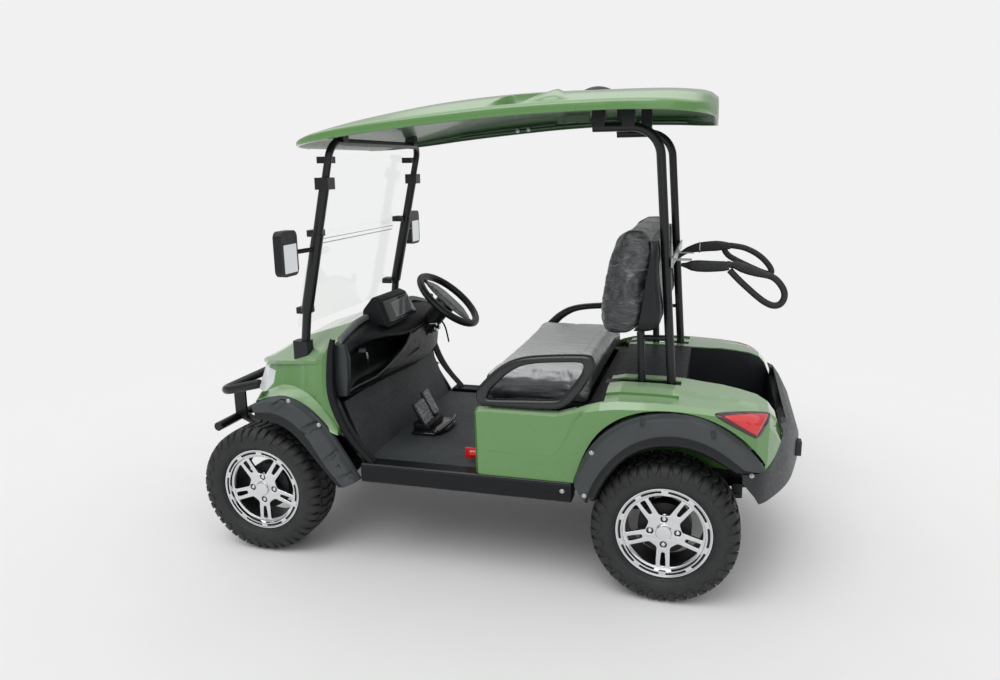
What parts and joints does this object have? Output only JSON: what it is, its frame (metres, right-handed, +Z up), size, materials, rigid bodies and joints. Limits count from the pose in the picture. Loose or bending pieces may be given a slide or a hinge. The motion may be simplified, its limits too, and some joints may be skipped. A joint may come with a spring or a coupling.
{
  "type": "golf cart",
  "caption": "Two-seat electric golf cart with a roof, steering, rolling wheels, hinged seat cushion and open bag well.",
  "frame": {"origin": "on the ground under the middle of the whole cart", "axes": "+X to the front, +Y to the left, +Z up"},
  "size_m": [2.5099, 1.398, 1.9143],
  "materials": {
    "green_paint": "gloss",
    "black_steel": "satin",
    "black_plastic": "matt",
    "dash_plastic": "satin",
    "flare_plastic": "satin",
    "well_plastic": "matt",
    "shell_plastic": "satin",
    "floor_rubber": "textured",
    "display": "gloss",
    "lamp_clear": "gloss",
    "lamp_red": "gloss",
    "red_plastic": "gloss",
    "seat_vinyl": "film wrapped",
    "clear_glass": "clear",
    "mirror_glass": "mirror",
    "pedal_metal": "textured",
    "holder_metal": "satin",
    "strap_webbing": "woven",
    "axle_steel": "satin",
    "battery_case": "matt",
    "wheel_grip": "satin",
    "tyre_rubber": "matt",
    "rim_chrome": "polished"
  },
  "bodies": {
    "chassis": {"frame": "black_steel", "floor_pan": "black_plastic", "floor_mat": "floor_rubber", "door_trims": "black_plastic", "front_cowl": "green_paint", "dashboard": "dash_plastic", "instrument_pod": "dash_plastic", "display_screen": "display", "headlamps": "lamp_clear", "front_bumper": "black_steel", "front_flares": "flare_plastic", "front_apron": "black_plastic", "rear_body": "green_paint", "rear_flares": "flare_plastic", "rear_bumper": "flare_plastic", "bag_well": "well_plastic", "tail_lamps": "lamp_red", "seat_base": "black_plastic", "isolator_knob": "red_plastic", "seat_back": "seat_vinyl", "seat_back_shell": "shell_plastic", "armrests": "shell_plastic", "windshield_frame": "black_steel", "windshield": "clear_glass", "rear_frame": "black_steel", "roof": "green_paint", "roof_dome": "shell_plastic", "mirrors": "shell_plastic", "mirror_glasses": "mirror_glass", "steering_column": "dash_plastic", "pedals": "pedal_metal", "bag_holder": "holder_metal", "bag_straps": "strap_webbing", "front_axle": "axle_steel", "rear_axle": "axle_steel", "leaf_springs": "axle_steel", "shock_absorbers": "axle_steel", "battery_pack": "battery_case"},
    "seat": {"seat_cushion": "seat_vinyl"},
    "steering_wheel": {"steering_wheel": "wheel_grip"},
    "knuckle_left": {"knuckle_left": "axle_steel"},
    "knuckle_right": {"knuckle_right": "axle_steel"},
    "steering_rack": {"steering_rack": "axle_steel"},
    "wheel_front_left": {"tyre_front_left": "tyre_rubber", "rim_front_left": "rim_chrome"},
    "wheel_front_right": {"tyre_front_right": "tyre_rubber", "rim_front_right": "rim_chrome"},
    "wheel_rear_left": {"tyre_rear_left": "tyre_rubber", "rim_rear_left": "rim_chrome"},
    "wheel_rear_right": {"tyre_rear_right": "tyre_rubber", "rim_rear_right": "rim_chrome"}
  },
  "joints": [
    {"name": "steer_left", "type": "hinge", "parent": "chassis", "child": "knuckle_left", "pos_m": [0.925, 0.352, 0.275], "axis": [0, 0, 1], "range_deg": [-28, 28]},
    {"name": "steer_right", "type": "hinge", "parent": "chassis", "child": "knuckle_right", "pos_m": [0.925, -0.352, 0.275], "axis": [0, 0, 1], "range_deg": [-30, 30]},
    {"name": "steering_wheel_turn", "type": "hinge", "parent": "chassis", "child": "steering_wheel", "pos_m": [0.347, -0.24, 0.974], "axis": [-0.6494, 0, 0.7604], "range_deg": [-425, 425]},
    {"name": "rack_slide", "type": "slide", "parent": "chassis", "child": "steering_rack", "axis": [0, 1, 0], "range_m": [-0.06, 0.06]},
    {"name": "spin_front_left", "type": "hinge", "parent": "knuckle_left", "child": "wheel_front_left", "pos_m": [0.925, 0.492, 0.275], "axis": [0, 1, 0], "continuous": true},
    {"name": "spin_front_right", "type": "hinge", "parent": "knuckle_right", "child": "wheel_front_right", "pos_m": [0.925, -0.492, 0.275], "axis": [0, 1, 0], "continuous": true},
    {"name": "spin_rear_left", "type": "hinge", "parent": "chassis", "child": "wheel_rear_left", "pos_m": [-0.755, 0.492, 0.275], "axis": [0, 1, 0], "continuous": true},
    {"name": "spin_rear_right", "type": "hinge", "parent": "chassis", "child": "wheel_rear_right", "pos_m": [-0.755, -0.492, 0.275], "axis": [0, 1, 0], "continuous": true},
    {"name": "seat_lid", "type": "hinge", "parent": "chassis", "child": "seat", "pos_m": [-0.525, 0, 0.8343], "axis": [0, -1, 0], "range_deg": [0, 50]}
  ],
  "couplings": [
    {"joint": "steer_right", "follows": "steer_left", "ratio": 1},
    {"joint": "steering_wheel_turn", "follows": "steer_left", "ratio": 15},
    {"joint": "rack_slide", "follows": "steer_left", "m_per_rad": -0.11}
  ]
}
